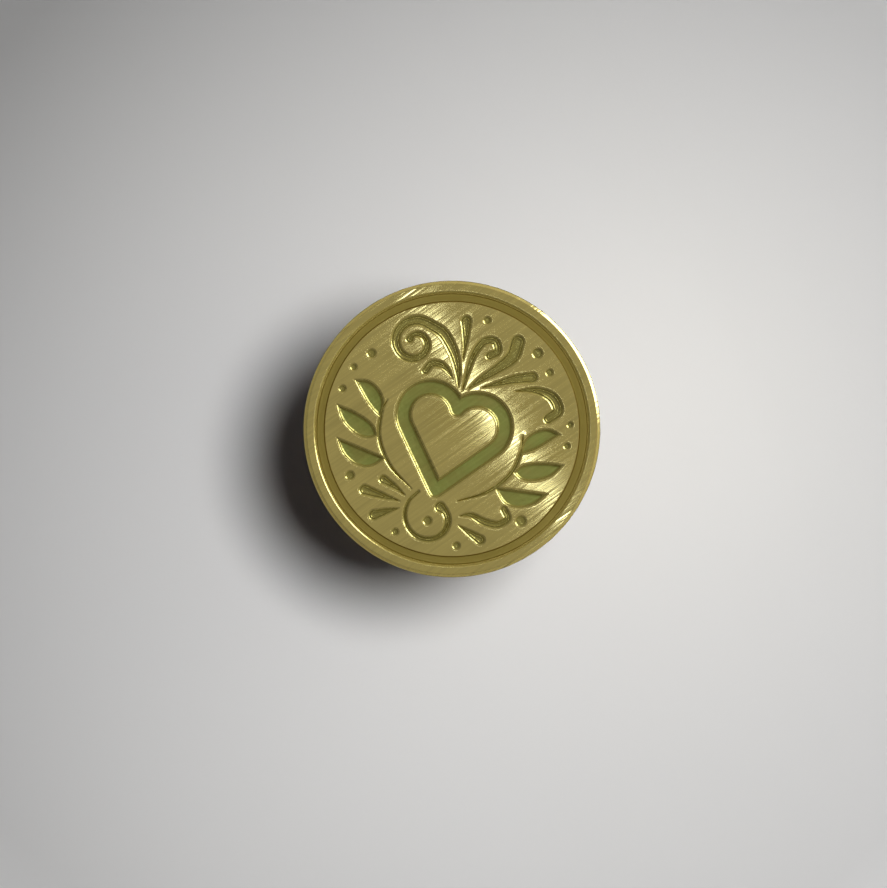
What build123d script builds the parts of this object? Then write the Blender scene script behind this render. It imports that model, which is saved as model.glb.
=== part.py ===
"""Wax seal stamp: an engraved brass seal head that screws onto a turned wooden handle.

The stamp stands on the butt of its handle with the engraved face up.
The origin is the centre of the butt and +Z points to the face.
Lengths are millimetres, angles are degrees.
"""

import math
import os

from build123d import *

os.makedirs("parts", exist_ok=True)

# Handle, turned hardwood
BUTT_DIAMETER = 19.0
BUTT_FLARE = 22.0
BUTT_EASE = 6.0
BUTT_ROUND = 0.8
BELLY_DIAMETER = 24.0
BELLY_HEIGHT = 18.0
BELLY_EASE = 15.0
NECK_DIAMETER = 12.4
NECK_EASE = 14.0
NECK_RUN = 2.0
BEAD_WIDTH = 4.0
BEAD_SWELL = 1.5
COVE_LENGTH = 4.5
COVE_EASE = 1.6
HANDLE_LENGTH = 66.0
DIMPLE_RADIUS = 1.2
DIMPLE_DEPTH = 0.9

# Ferrule, a drawn brass cup glued over the handle's tenon
FERRULE_LENGTH = 10.5
FERRULE_WALL = 0.7
FERRULE_CROWN = 1.3
FERRULE_ROUND = 0.3
GROOVE_RADIUS = 0.35
GROOVE_INSET = 1.9

# Stud, machine thread at the head and wood-screw thread in the handle
THREAD_DIAMETER = 7.0
THREAD_ENGAGEMENT = 8.0
THREAD_SINK = 5.0
STUD_CHAMFER = 0.6
SCREW_DIAMETER = 6.0
SCREW_LENGTH = 24.0
SCREW_POINT = 5.0

# Washer between the ferrule and the head
WASHER_DIAMETER = 13.2
WASHER_THICKNESS = 0.5

# Seal head, turned brass
FACE_DIAMETER = 25.0
HEAD_HEIGHT = 14.5
RIM_HEIGHT = 5.2
RIM_LEDGE = 0.6
EDGE_ROUND = 0.35
BOSS_DIAMETER = 14.5
BOSS_HEIGHT = 2.4
BOSS_ROUND = 0.4
BORE_RUNOUT = 1.2
BORE_CHAMFER = 0.5

# Engraving in the face
RIM_LAND = 0.65
RING_WIDTH = 0.8
RING_DEPTH = 0.45
FIELD_MARGIN = 0.2
ENGRAVING_DEPTH = 0.6
ENGRAVING_TURN = -15.0
HEART_BAND = 1.52

# Clearances, all radial or axial per side
GLUE_LINE = 0.05
THREAD_CLEARANCE = 0.08
STUD_PLAY = 0.2
WASHER_PLAY = 0.3
PILOT_RUNOUT = 1.0

# Radii that the pieces share
boss_radius = BOSS_DIAMETER / 2
ferrule_radius = boss_radius
ferrule_bore = ferrule_radius - FERRULE_WALL
tenon_radius = ferrule_bore - GLUE_LINE
thread_radius = THREAD_DIAMETER / 2
screw_radius = SCREW_DIAMETER / 2
face_radius = FACE_DIAMETER / 2
butt_radius = BUTT_DIAMETER / 2
belly_radius = BELLY_DIAMETER / 2
neck_radius = NECK_DIAMETER / 2

# The way the handle's side leaves the butt, leaning out from upright
flare = (BUTT_EASE * math.sin(math.radians(BUTT_FLARE)), BUTT_EASE * math.cos(math.radians(BUTT_FLARE)))

# Heights from the butt up
bead_top = HANDLE_LENGTH - COVE_LENGTH
bead_bottom = bead_top - BEAD_WIDTH
neck_height = bead_bottom - NECK_RUN
ferrule_top = HANDLE_LENGTH + FERRULE_LENGTH
ferrule_ceiling = ferrule_top - FERRULE_CROWN
tenon_top = ferrule_ceiling - GLUE_LINE
head_back = ferrule_top + WASHER_THICKNESS
stud_top = head_back + THREAD_ENGAGEMENT
thread_bottom = ferrule_ceiling - THREAD_SINK
screw_tip = thread_bottom - SCREW_LENGTH
rim_bottom = head_back + HEAD_HEIGHT - RIM_HEIGHT
face_height = head_back + HEAD_HEIGHT

# Engraved field inside the border ring
ring_radius = face_radius - EDGE_ROUND - RIM_LAND - RING_WIDTH / 2
field_radius = ring_radius - RING_WIDTH / 2 - FIELD_MARGIN

# The engraving is drawn upright in a field of this radius and scaled to the real one
DRAWN_FIELD_RADIUS = 10.5
STEPS_PER_STATION = 3
drawn_scale = field_radius / DRAWN_FIELD_RADIUS

# Heart: two lobe circles and two straight sides that meet at the tip
HEART_LOBE_X = 2.05
HEART_LOBE_Y = 0.70
HEART_LOBE_RADIUS = 2.3
HEART_SIDE_ANGLE = 40.0


def scroll(centre, radii, angles, half_widths, bulb, count):
    """Stations of a stroke that winds about a centre and ends in a bulb."""
    stations = []
    for index in range(count):
        share = index / (count - 1)
        radius = radii[0] + (radii[1] - radii[0]) * share
        angle = math.radians(angles[0] + (angles[1] - angles[0]) * share)
        half_width = half_widths[0] + (half_widths[1] - half_widths[0]) * share
        x = centre[0] + radius * math.cos(angle)
        y = centre[1] + radius * math.sin(angle)
        stations.append((x, y, half_width))
    stations[-1] = (*stations[-1][:2], bulb)
    return stations


# Strokes as stations (x, y, half width), in the drawn field
STROKES = {
    "crown volute": [
        (-0.42, 3.60, 0.12),
        (-0.78, 4.80, 0.34),
        (-1.50, 6.20, 0.48),
        (-2.70, 7.50, 0.54),
    ]
    + scroll((-4.9, 6.2), (2.05, 0.55), (58, 520), (0.52, 0.30), 0.42, 14),
    "crown teardrop": [(-0.62, 5.90, 0.10), (-0.75, 7.00, 0.24), (-0.95, 8.10, 0.40), (-1.20, 9.10, 0.54)],
    "crown curl": [
        (0.00, 3.40, 0.12),
        (0.02, 4.90, 0.26),
        (0.15, 6.50, 0.36),
        (0.70, 7.80, 0.42),
        (1.60, 8.05, 0.42),
        (2.00, 7.30, 0.42),
        (1.45, 6.75, 0.42),
    ],
    "crown tall lobe": [
        (0.42, 3.60, 0.12),
        (1.15, 4.55, 0.32),
        (2.40, 5.90, 0.50),
        (3.35, 7.20, 0.64),
        (3.45, 8.50, 0.66),
    ],
    "crown low lobe": [(1.50, 4.00, 0.10), (2.60, 4.62, 0.30), (4.00, 5.40, 0.46), (5.40, 5.95, 0.54)],
    "left hook": [
        (-1.10, 4.15, 0.10),
        (-1.60, 4.65, 0.26),
        (-2.30, 5.00, 0.36),
        (-3.10, 4.85, 0.40),
        (-3.45, 4.15, 0.40),
    ],
    "right hook": [
        (4.30, 4.45, 0.10),
        (5.90, 4.95, 0.36),
        (7.40, 4.75, 0.52),
        (8.20, 3.80, 0.54),
        (7.60, 2.90, 0.50),
    ],
    "foot scroll": scroll((0.2, -7.7), (2.45, 1.20), (130, 425), (0.20, 0.42), 0.54, 12),
    "foot right hook": [
        (2.50, -6.90, 0.10),
        (3.40, -6.60, 0.30),
        (4.60, -6.85, 0.40),
        (5.75, -6.80, 0.40),
        (6.45, -6.10, 0.38),
        (5.95, -5.40, 0.38),
    ],
    "foot right lobe": [(2.60, -7.70, 0.10), (3.60, -8.05, 0.34), (4.70, -8.40, 0.50)],
    "foot left high lobe": [(-2.40, -6.40, 0.10), (-3.40, -5.95, 0.30), (-4.50, -5.60, 0.46)],
    "foot left middle lobe": [(-2.70, -7.00, 0.10), (-4.20, -6.95, 0.36), (-5.80, -6.85, 0.54)],
    "foot left low lobe": [(-2.60, -7.60, 0.10), (-3.60, -8.15, 0.36), (-4.50, -8.70, 0.52)],
}

# One leaf branch, which stands on both sides of the heart
BRANCH = {
    "stem": [
        (2.00, -5.75, 0.10),
        (4.30, -4.30, 0.22),
        (5.75, -2.30, 0.24),
        (6.10, -0.20, 0.20),
        (5.90, 1.00, 0.10),
    ],
    "high leaf": [(6.10, -0.60, 0.10), (6.80, 0.60, 0.74), (7.80, 1.50, 0.68), (9.00, 1.90, 0.08)],
    "middle leaf": [(5.95, -2.20, 0.10), (7.10, -1.90, 0.82), (8.60, -1.30, 0.72), (9.90, -0.50, 0.08)],
    "low leaf": [(4.75, -3.80, 0.10), (6.30, -4.30, 0.80), (7.80, -4.00, 0.70), (9.20, -3.20, 0.08)],
}

# Dots as (x, y, radius), in the drawn field
DOTS = [
    (5.30, 8.00, 0.52),
    (6.70, 6.70, 0.40),
    (9.50, 2.90, 0.34),
    (9.70, 1.10, 0.36),
    (7.60, -6.00, 0.54),
    (2.90, -9.40, 0.40),
    (0.00, -8.00, 0.45),
    (-2.40, -9.60, 0.38),
    (-7.30, -6.00, 0.46),
    (-9.80, 0.90, 0.38),
    (-9.35, 2.90, 0.36),
    (-8.20, 4.40, 0.46),
    (0.50, 9.60, 0.40),
]


def mirrored(stations):
    """The same stroke on the other side of the upright axis."""
    return [(-x, y, half_width) for x, y, half_width in stations]


def smooth_run(stations):
    """Points (x, y, half width) on a smooth curve through the stations, at the real scale."""
    first = [2 * a - b for a, b in zip(stations[0], stations[1])]
    last = [2 * a - b for a, b in zip(stations[-1], stations[-2])]
    padded = [first, *stations, last]
    run = []
    for index in range(1, len(padded) - 2):
        for step in range(STEPS_PER_STATION):
            t = step / STEPS_PER_STATION
            point = []
            for a, b, c, d in zip(*padded[index - 1 : index + 3]):
                bend = (2 * a - 5 * b + 4 * c - d) * t**2 + (3 * b - a - 3 * c + d) * t**3
                point.append(0.5 * (2 * b + (c - a) * t + bend))
            run.append(point)
    run.append(list(stations[-1]))
    return [[value * drawn_scale for value in point] for point in run]


def stroke_edges(stations):
    """Left and right edge points of a stroke, and the outermost points of its round ends."""
    run = smooth_run(stations)
    left = []
    right = []
    for index, (x, y, half_width) in enumerate(run):
        before = run[max(index - 1, 0)]
        after = run[min(index + 1, len(run) - 1)]
        heading = math.atan2(after[1] - before[1], after[0] - before[0])
        across = (-math.sin(heading) * half_width, math.cos(heading) * half_width)
        left.append((x + across[0], y + across[1]))
        right.append((x - across[0], y - across[1]))
        if index == 0:
            start = (x - math.cos(heading) * half_width, y - math.sin(heading) * half_width)
    end = (x + math.cos(heading) * half_width, y + math.sin(heading) * half_width)
    return left, right, start, end


with BuildPart() as handle:
    with BuildSketch(Plane.XZ):
        with BuildLine():
            Line((0, 0), (butt_radius, 0))
            Bezier(
                (butt_radius, 0),
                (butt_radius + flare[0], flare[1]),
                (belly_radius, BELLY_HEIGHT - BUTT_EASE),
                (belly_radius, BELLY_HEIGHT),
            )
            Bezier(
                (belly_radius, BELLY_HEIGHT),
                (belly_radius, BELLY_HEIGHT + BELLY_EASE),
                (neck_radius, neck_height - NECK_EASE),
                (neck_radius, neck_height),
            )
            Line((neck_radius, neck_height), (neck_radius, bead_bottom))
            ThreePointArc(
                (neck_radius, bead_bottom),
                (neck_radius + BEAD_SWELL, bead_bottom + BEAD_WIDTH / 2),
                (neck_radius, bead_top),
            )
            Bezier(
                (neck_radius, bead_top),
                (neck_radius, bead_top + COVE_EASE),
                (ferrule_radius, HANDLE_LENGTH - COVE_EASE),
                (ferrule_radius, HANDLE_LENGTH),
            )
            Polyline(
                (ferrule_radius, HANDLE_LENGTH),
                (tenon_radius, HANDLE_LENGTH),
                (tenon_radius, tenon_top),
                (0, tenon_top),
                (0, 0),
            )
        make_face()
    revolve(axis=Axis.Z)
    fillet(handle.faces().sort_by(Axis.Z)[0].edges(), BUTT_ROUND)
    # Bored from the tenon's end for the stud
    with Locations((0, 0, tenon_top)):
        Hole(radius=thread_radius + GLUE_LINE, depth=tenon_top - thread_bottom)
    with Locations((0, 0, thread_bottom)):
        Hole(radius=screw_radius + GLUE_LINE, depth=SCREW_LENGTH + PILOT_RUNOUT)
    # Lathe-centre mark in the butt
    with BuildSketch(Plane.XZ):
        with BuildLine():
            Polyline((0, 0), (DIMPLE_RADIUS, 0), (0, DIMPLE_DEPTH), close=True)
        make_face()
    revolve(axis=Axis.Z, mode=Mode.SUBTRACT)

with BuildPart() as ferrule:
    with BuildSketch(Plane.XZ):
        with BuildLine():
            Polyline(
                (ferrule_bore, HANDLE_LENGTH),
                (ferrule_radius, HANDLE_LENGTH),
                (ferrule_radius, ferrule_top),
                (thread_radius + STUD_PLAY, ferrule_top),
                (thread_radius + STUD_PLAY, ferrule_ceiling),
                (ferrule_bore, ferrule_ceiling),
                close=True,
            )
        make_face()
    revolve(axis=Axis.Z)
    fillet(ferrule.faces().sort_by(Axis.Z)[-1].outer_wire().edges(), FERRULE_ROUND)
    # A rolled groove near each end
    with BuildSketch(Plane.XZ):
        with Locations(
            (ferrule_radius, HANDLE_LENGTH + GROOVE_INSET),
            (ferrule_radius, ferrule_top - GROOVE_INSET),
        ):
            Circle(GROOVE_RADIUS)
    revolve(axis=Axis.Z, mode=Mode.SUBTRACT)

with BuildPart() as threaded_stud:
    with BuildSketch(Plane.XZ):
        with BuildLine():
            Polyline(
                (0, screw_tip),
                (screw_radius, screw_tip + SCREW_POINT),
                (screw_radius, thread_bottom),
                (thread_radius, thread_bottom),
                (thread_radius, stud_top - STUD_CHAMFER),
                (thread_radius - STUD_CHAMFER, stud_top),
                (0, stud_top),
                close=True,
            )
        make_face()
    revolve(axis=Axis.Z)

with BuildPart() as joint_washer:
    with BuildSketch(Plane.XY.offset(ferrule_top)):
        Circle(WASHER_DIAMETER / 2)
        Circle(thread_radius + WASHER_PLAY, mode=Mode.SUBTRACT)
    extrude(amount=WASHER_THICKNESS)

face_turn = math.radians(ENGRAVING_TURN)
engraving_plane = Plane(
    origin=(0, 0, face_height),
    x_dir=(math.cos(face_turn), math.sin(face_turn), 0),
    z_dir=(0, 0, 1),
)
back_plane = Plane(origin=(0, 0, head_back), z_dir=(0, 0, -1))
strokes = [*STROKES.values(), *BRANCH.values(), *(mirrored(stroke) for stroke in BRANCH.values())]

# Heart outline on the middle of its band
lobe_x = HEART_LOBE_X * drawn_scale
lobe_y = HEART_LOBE_Y * drawn_scale
lobe_radius = HEART_LOBE_RADIUS * drawn_scale
cleft_angle = math.degrees(math.acos(-lobe_x / lobe_radius))
side_x = lobe_x + lobe_radius * math.cos(math.radians(HEART_SIDE_ANGLE))
side_y = lobe_y - lobe_radius * math.sin(math.radians(HEART_SIDE_ANGLE))
heart_tip = side_y - side_x / math.tan(math.radians(HEART_SIDE_ANGLE))

with BuildPart() as seal_head:
    with BuildSketch(Plane.XZ):
        with BuildLine():
            cove_foot = head_back + BOSS_HEIGHT
            cove_lip = face_radius - RIM_LEDGE
            Polyline((0, face_height), (0, head_back), (boss_radius, head_back), (boss_radius, cove_foot))
            EllipticalCenterArc(
                center=(cove_lip, cove_foot),
                x_radius=cove_lip - boss_radius,
                y_radius=rim_bottom - cove_foot,
                start_angle=90,
                arc_size=90,
            )
            Polyline(
                (cove_lip, rim_bottom),
                (face_radius, rim_bottom),
                (face_radius, face_height),
                (0, face_height),
            )
        make_face()
    revolve(axis=Axis.Z)
    fillet(seal_head.faces().sort_by(Axis.Z)[-1].edges(), EDGE_ROUND)
    fillet(seal_head.faces().sort_by(Axis.Z)[0].edges(), BOSS_ROUND)
    # Threaded bore from the back
    with Locations(back_plane):
        CounterSinkHole(
            radius=thread_radius + THREAD_CLEARANCE,
            counter_sink_radius=thread_radius + THREAD_CLEARANCE + BORE_CHAMFER,
            depth=THREAD_ENGAGEMENT + BORE_RUNOUT,
            counter_sink_angle=90,
        )
    # Border ring, a V groove
    with BuildSketch(Plane.XZ):
        with BuildLine():
            Polyline(
                (ring_radius - RING_WIDTH / 2, face_height),
                (ring_radius + RING_WIDTH / 2, face_height),
                (ring_radius, face_height - RING_DEPTH),
                close=True,
            )
        make_face()
    revolve(axis=Axis.Z, mode=Mode.SUBTRACT)
    # Heart, scrolls, lobes, leaves and dots
    with BuildSketch(engraving_plane):
        with BuildLine():
            CenterArc((lobe_x, lobe_y), lobe_radius, -HEART_SIDE_ANGLE, cleft_angle + HEART_SIDE_ANGLE)
            Line((side_x, side_y), (0, heart_tip))
            mirror(about=Plane.YZ)
        heart = make_face().face()
        offset(heart, amount=HEART_BAND / 2)
        offset(heart, amount=-HEART_BAND / 2, mode=Mode.SUBTRACT)
        for stations in strokes:
            left, right, start, end = stroke_edges(stations)
            with BuildLine():
                Spline(*left)
                ThreePointArc(left[-1], end, right[-1])
                Spline(*reversed(right))
                ThreePointArc(right[0], start, left[0])
            make_face()
        for x, y, radius in DOTS:
            with Locations((x * drawn_scale, y * drawn_scale)):
                Circle(radius * drawn_scale)
    extrude(amount=-ENGRAVING_DEPTH, mode=Mode.SUBTRACT)

PIECES = {
    "handle": handle,
    "ferrule": ferrule,
    "threaded_stud": threaded_stud,
    "joint_washer": joint_washer,
    "seal_head": seal_head,
}
for name, piece in PIECES.items():
    piece.part.label = name
    export_step(piece.part, f"parts/{name}.step")
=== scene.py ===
"""Finished surfaces and studio stage for a wax seal stamp that stands with its engraved face up."""

import math

import bmesh
import bpy
import numpy as np
from bpy.props import FloatProperty, FloatVectorProperty, IntProperty, PointerProperty
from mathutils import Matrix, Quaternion, Vector, geometry


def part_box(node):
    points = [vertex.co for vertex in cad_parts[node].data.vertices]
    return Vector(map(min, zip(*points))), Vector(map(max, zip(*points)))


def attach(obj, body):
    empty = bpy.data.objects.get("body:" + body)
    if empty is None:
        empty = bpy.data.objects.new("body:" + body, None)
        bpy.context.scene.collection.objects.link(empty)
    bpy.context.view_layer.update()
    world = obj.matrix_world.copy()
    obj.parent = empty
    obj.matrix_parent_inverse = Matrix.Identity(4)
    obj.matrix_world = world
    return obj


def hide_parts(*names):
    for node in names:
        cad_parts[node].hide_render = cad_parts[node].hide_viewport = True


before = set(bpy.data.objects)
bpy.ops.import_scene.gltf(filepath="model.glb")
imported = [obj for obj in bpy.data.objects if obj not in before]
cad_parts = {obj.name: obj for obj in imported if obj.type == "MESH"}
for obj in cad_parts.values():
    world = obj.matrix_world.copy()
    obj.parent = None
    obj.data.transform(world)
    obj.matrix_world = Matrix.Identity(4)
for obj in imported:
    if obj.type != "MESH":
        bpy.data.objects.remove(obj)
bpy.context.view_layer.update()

bl_info = {
    "name": "Wax Seal Stamp",
    "version": (1, 0, 0),
    "blender": (4, 5, 0),
    "location": "View3D > Sidebar > Seal Stamp",
    "description": "Builds the finished surfaces of a wax seal stamp and the stage it is shown on",
    "category": "Add Mesh",
}

# Lengths below are millimetres and become metres when a mesh is made
MM = 0.001
SEGMENTS = 256
ROUND_STEPS = 8
CURVE_STEPS = 48
SHARP_ANGLE = math.radians(40)
REPEAT = 1e-6
ON_AXIS = 1e-9

# Distances within which points of a mesh merge, in metres
DOUBLES = 1e-7
SEAM = 1e-6

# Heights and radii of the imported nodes
HEAD_LOW, HEAD_HIGH = (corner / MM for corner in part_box("seal_head"))
FERRULE_LOW, FERRULE_HIGH = (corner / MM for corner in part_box("ferrule"))
HANDLE_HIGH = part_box("handle")[1] / MM
STUD_LOW, STUD_HIGH = (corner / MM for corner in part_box("threaded_stud"))
WASHER_LOW, WASHER_HIGH = (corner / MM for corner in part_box("joint_washer"))

FACE_HEIGHT = HEAD_HIGH.z
FACE_RADIUS = HEAD_HIGH.x
HEAD_BACK = HEAD_LOW.z
FERRULE_RADIUS = FERRULE_HIGH.x
STUD_RADIUS = STUD_HIGH.x

# Seal head
RIM_HEIGHT = 5.2
RIM_LEDGE = 0.6
RIM_BREAK = 0.15
EDGE_WIDTH = 0.28
EDGE_DROP = 0.22
EDGE_SHARES = (0.14, 0.24, 0.76, 0.86)
EDGE_SUPPORT = 0.04
BOSS_HEIGHT = 2.4
BOSS_ROUND = 0.4
SIDE_TOP = 0.7
SIDE_BLEND = 0.05
FACE_SLOPE = 0.5
BORE_PLAY = 0.08
BORE_RADIUS = STUD_RADIUS + BORE_PLAY
BORE_DEPTH = 9.2
BORE_CHAMFER = 0.5
RING_RADIUS = 11.1
RING_WIDTH = 0.8
RING_LIP = 0.20
RING_OUTER = (
    *((RING_LIP, 0), (0.165, 0), (0.15, 0.003), (0.135, 0.014), (0.105, 0.042), (0.075, 0.070)),
    *((0.045, 0.098), (0.03, 0.104), (-0.08, 0.112), (-0.13, 0.20), (-0.40, 0.20)),
)
RING_INNER = ((0.115, 0.21), (0.03, 0.05), (0.015, 0.02), (0, 0.004), (-0.04, 0))
FIELD_EDGE = 10.62
FIELD_RADIUS = 10.5

# Ferrule
FERRULE_WALL = 0.7
FERRULE_CROWN = 1.3
FERRULE_ROUND = 0.3
GROOVE_RADIUS = 0.35
GROOVE_INSET = 1.9
STUD_PLAY = 0.2

# Handle
BUTT_RADIUS = 9.5
BUTT_FLARE = math.radians(22)
BUTT_EASE = 6.0
BUTT_ROUND = 0.8
BELLY_RADIUS = HANDLE_HIGH.x
BELLY_HEIGHT = 18.0
BELLY_EASE = 15.0
NECK_RADIUS = 6.2
NECK_EASE = 14.0
NECK_RUN = 2.0
BEAD_WIDTH = 4.0
BEAD_SWELL = 1.5
COVE_LENGTH = 4.5
COVE_EASE = 1.6
TENON_GAP = 0.05
DIMPLE_RADIUS = 1.2
DIMPLE_DEPTH = 0.9
PILOT_RUNOUT = 1.0

# Stud
SCREW_RADIUS = 3.0
THREAD_SINK = 5.0
SCREW_SHOULDER = FERRULE_HIGH.z - FERRULE_CROWN - THREAD_SINK
SCREW_POINT = 5.0
STUD_SEGMENTS = 48
STUD_CAP = 1.0 - 1e-5

# Washer
WASHER_PLAY = 0.3
WASHER_BREAK = 0.08

# Engraving: depth against the distance in from a stroke's edge
WALL_DISTANCES = (-0.07, -0.03, 0.0, 0.04, 0.09, 0.13, 0.17, 0.21, 0.26, 0.31, 0.36, 0.40)
WALL_DEPTHS = (0.0, 0.0, 0.005, 0.024, 0.066, 0.102, 0.108, 0.140, 0.186, 0.228, 0.25, 0.255)
NARROW_DISTANCES = (-0.07, -0.03, 0.0, 0.03, 0.07, 0.12, 0.16, 0.20, 0.24)
NARROW_DEPTHS = (0.0, 0.0, 0.005, 0.02, 0.05, 0.092, 0.125, 0.15, 0.16)
STEP_DISTANCES = (-0.07, -0.03, 0.0, 0.03, 0.07, 0.12, 0.16, 0.20, 0.25, 0.30, 0.36, 0.42)
STEP_DEPTHS = (0.0, 0.0, 0.005, 0.02, 0.05, 0.092, 0.125, 0.14, 0.095, 0.095, 0.15, 0.17)
STROKE_SPACING = 0.08
FIELD_SPACING = 0.4
FIELD_GAP = 0.14
SAME_POINT = 0.015
DEPTH_TOLERANCE = 0.02
STEEPEST = 0.98
END_POINTS = 8
BLOCK = 1000

# Heart: two lobe circles and two straight sides that meet at the tip, in the drawn field
HEART_LOBE_X = 2.05
HEART_LOBE_Y = 0.70
HEART_LOBE_RADIUS = 2.3
HEART_SIDE_ANGLE = math.radians(40)
HEART_HALF_BAND = 0.76


def scroll(centre, radii, angles, half_widths, bulb, count):
    """Stations of a stroke that winds about a centre and ends in a bulb."""
    angle = np.radians(np.linspace(*angles, count))
    radius = np.linspace(*radii, count)
    half_width = np.linspace(*half_widths, count)
    half_width[-1] = bulb
    rows = zip(centre[0] + radius * np.cos(angle), centre[1] + radius * np.sin(angle), half_width)
    return list(rows)


# Scroll strokes as stations (x, y, half width), in the drawn field
SCROLL_STROKES = {
    "crown volute": [
        *((-0.42, 3.60, 0.12), (-0.78, 4.80, 0.34), (-1.50, 6.20, 0.48), (-2.70, 7.50, 0.54)),
        *scroll((-4.9, 6.2), (2.05, 0.55), (58, 520), (0.52, 0.30), 0.42, 14),
    ],
    "crown teardrop": [(-0.62, 5.90, 0.10), (-0.75, 7.00, 0.24), (-0.95, 8.10, 0.40), (-1.20, 9.10, 0.54)],
    "crown curl": [
        *((0.00, 3.40, 0.12), (0.02, 4.90, 0.26), (0.15, 6.50, 0.36), (0.70, 7.80, 0.42)),
        *((1.60, 8.05, 0.42), (2.00, 7.30, 0.42), (1.45, 6.75, 0.42)),
    ],
    "crown tall lobe": [
        *((0.42, 3.60, 0.12), (1.15, 4.55, 0.32), (2.40, 5.90, 0.50), (3.35, 7.20, 0.64), (3.45, 8.50, 0.66)),
    ],
    "crown low lobe": [(1.50, 4.00, 0.10), (2.60, 4.62, 0.30), (4.00, 5.40, 0.46), (5.40, 5.95, 0.54)],
    "left hook": [
        *((-1.10, 4.15, 0.10), (-1.60, 4.65, 0.26), (-2.30, 5.00, 0.36)),
        *((-3.10, 4.85, 0.40), (-3.45, 4.15, 0.40)),
    ],
    "right hook": [
        *((4.30, 4.45, 0.10), (5.90, 4.95, 0.36), (7.40, 4.75, 0.52), (8.20, 3.80, 0.54), (7.60, 2.90, 0.50)),
    ],
    "foot scroll": scroll((0.2, -7.7), (2.45, 1.20), (130, 425), (0.20, 0.42), 0.54, 12),
    "foot right hook": [
        *((2.50, -6.90, 0.10), (3.40, -6.60, 0.30), (4.60, -6.85, 0.40)),
        *((5.75, -6.80, 0.40), (6.45, -6.10, 0.38), (5.95, -5.40, 0.38)),
    ],
    "foot right lobe": [(2.60, -7.70, 0.10), (3.60, -8.05, 0.34), (4.70, -8.40, 0.50)],
    "foot left high lobe": [(-2.40, -6.40, 0.10), (-3.40, -5.95, 0.30), (-4.50, -5.60, 0.46)],
    "foot left middle lobe": [(-2.70, -7.00, 0.10), (-4.20, -6.95, 0.36), (-5.80, -6.85, 0.54)],
    "foot left low lobe": [(-2.60, -7.60, 0.10), (-3.60, -8.15, 0.36), (-4.50, -8.70, 0.52)],
}

# One leaf branch, which stands on both sides of the heart
BRANCH = {
    "stem": [
        *((2.00, -5.75, 0.10), (4.30, -4.30, 0.22), (5.75, -2.30, 0.24)),
        *((6.10, -0.20, 0.20), (5.90, 1.00, 0.10)),
    ],
    "high leaf": [(6.10, -0.60, 0.10), (6.80, 0.60, 0.74), (7.80, 1.50, 0.68), (9.00, 1.90, 0.08)],
    "middle leaf": [(5.95, -2.20, 0.10), (7.10, -1.90, 0.82), (8.60, -1.30, 0.72), (9.90, -0.50, 0.08)],
    "low leaf": [(4.75, -3.80, 0.10), (6.30, -4.30, 0.80), (7.80, -4.00, 0.70), (9.20, -3.20, 0.08)],
}

# Dots as (x, y, radius), in the drawn field
DOTS = [
    *((5.30, 8.00, 0.52), (6.70, 6.70, 0.40), (9.50, 2.90, 0.34), (9.70, 1.10, 0.36), (7.60, -6.00, 0.54)),
    *((2.90, -9.40, 0.40), (0.00, -8.00, 0.45), (-2.40, -9.60, 0.38), (-7.30, -6.00, 0.46)),
    *((-9.80, 0.90, 0.38), (-9.35, 2.90, 0.36), (-8.20, 4.40, 0.46), (0.50, 9.60, 0.40)),
]

# What settings of one kind have in common
COLOUR = {"subtype": "COLOR", "min": 0, "max": 1}
ANGLE = {"subtype": "ANGLE"}
LENGTH = {"unit": "LENGTH"}
POWER = {"unit": "POWER"}
FACTOR = {"subtype": "FACTOR", "min": 0, "max": 1}


class SealHeadSettings(bpy.types.PropertyGroup):
    """Finish of the engraved brass head, whose recess colours are darker than the face, partly as painted
    shade.
    """

    brass: FloatVectorProperty(
        name="Brass", description="Colour of the brushed face", default=(0.67, 0.535, 0.165), **COLOUR
    )
    # Wall, floor and ring colours are darker than the brass: partly the finish of the cuts, partly painted
    # shade in them
    wall: FloatVectorProperty(
        name="Wall",
        description="Colour of the engraved walls and shallow cuts",
        default=(0.43, 0.36, 0.09),
        **COLOUR,
    )
    floor: FloatVectorProperty(
        name="Floor", description="Colour of the deep engraved floors", default=(0.43, 0.45, 0.105), **COLOUR
    )
    ring: FloatVectorProperty(
        name="Ring", description="Colour of the border ring's groove", default=(0.47, 0.355, 0.075), **COLOUR
    )
    brush_angle: FloatProperty(
        name="Brush Angle",
        description="Direction of the brush lines, from +X",
        default=math.radians(35),
        **ANGLE,
    )
    engraving_turn: FloatProperty(
        name="Engraving Turn",
        description="Turn of the engraving about the stamp's axis",
        default=math.radians(-15),
        **ANGLE,
    )


class HandleSettings(bpy.types.PropertyGroup):
    """Finish of the wooden handle and its brass ferrule."""

    light_wood: FloatVectorProperty(
        name="Light Wood", description="Colour of the early wood", default=(0.29, 0.115, 0.045), **COLOUR
    )
    dark_wood: FloatVectorProperty(
        name="Dark Wood",
        description="Colour of the late wood and the pores",
        default=(0.075, 0.026, 0.012),
        **COLOUR,
    )
    ferrule_brass: FloatVectorProperty(
        name="Ferrule Brass", description="Colour of the turned ferrule", default=(0.72, 0.57, 0.20), **COLOUR
    )


class StudSettings(bpy.types.PropertyGroup):
    """Sizes of the stud's two threads and the finish of stud and washer."""

    machine_pitch: FloatProperty(
        name="Machine Pitch", description="Rise of the machine thread in one turn", default=1.0 * MM, **LENGTH
    )
    screw_pitch: FloatProperty(
        name="Screw Pitch",
        description="Rise of the wood-screw thread in one turn",
        default=2.4 * MM,
        **LENGTH,
    )
    thread_depth: FloatProperty(
        name="Thread Depth",
        description="Height of the thread from root to crest",
        default=0.54 * MM,
        **LENGTH,
    )
    rings: IntProperty(name="Rings", description="Rows of points along the stud", default=520, min=8)
    steel: FloatVectorProperty(
        name="Steel", description="Colour of the zinc-plated steel", default=(0.56, 0.56, 0.55), **COLOUR
    )
    nylon: FloatVectorProperty(
        name="Nylon", description="Colour of the washer", default=(0.022, 0.022, 0.021), **COLOUR
    )


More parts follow.
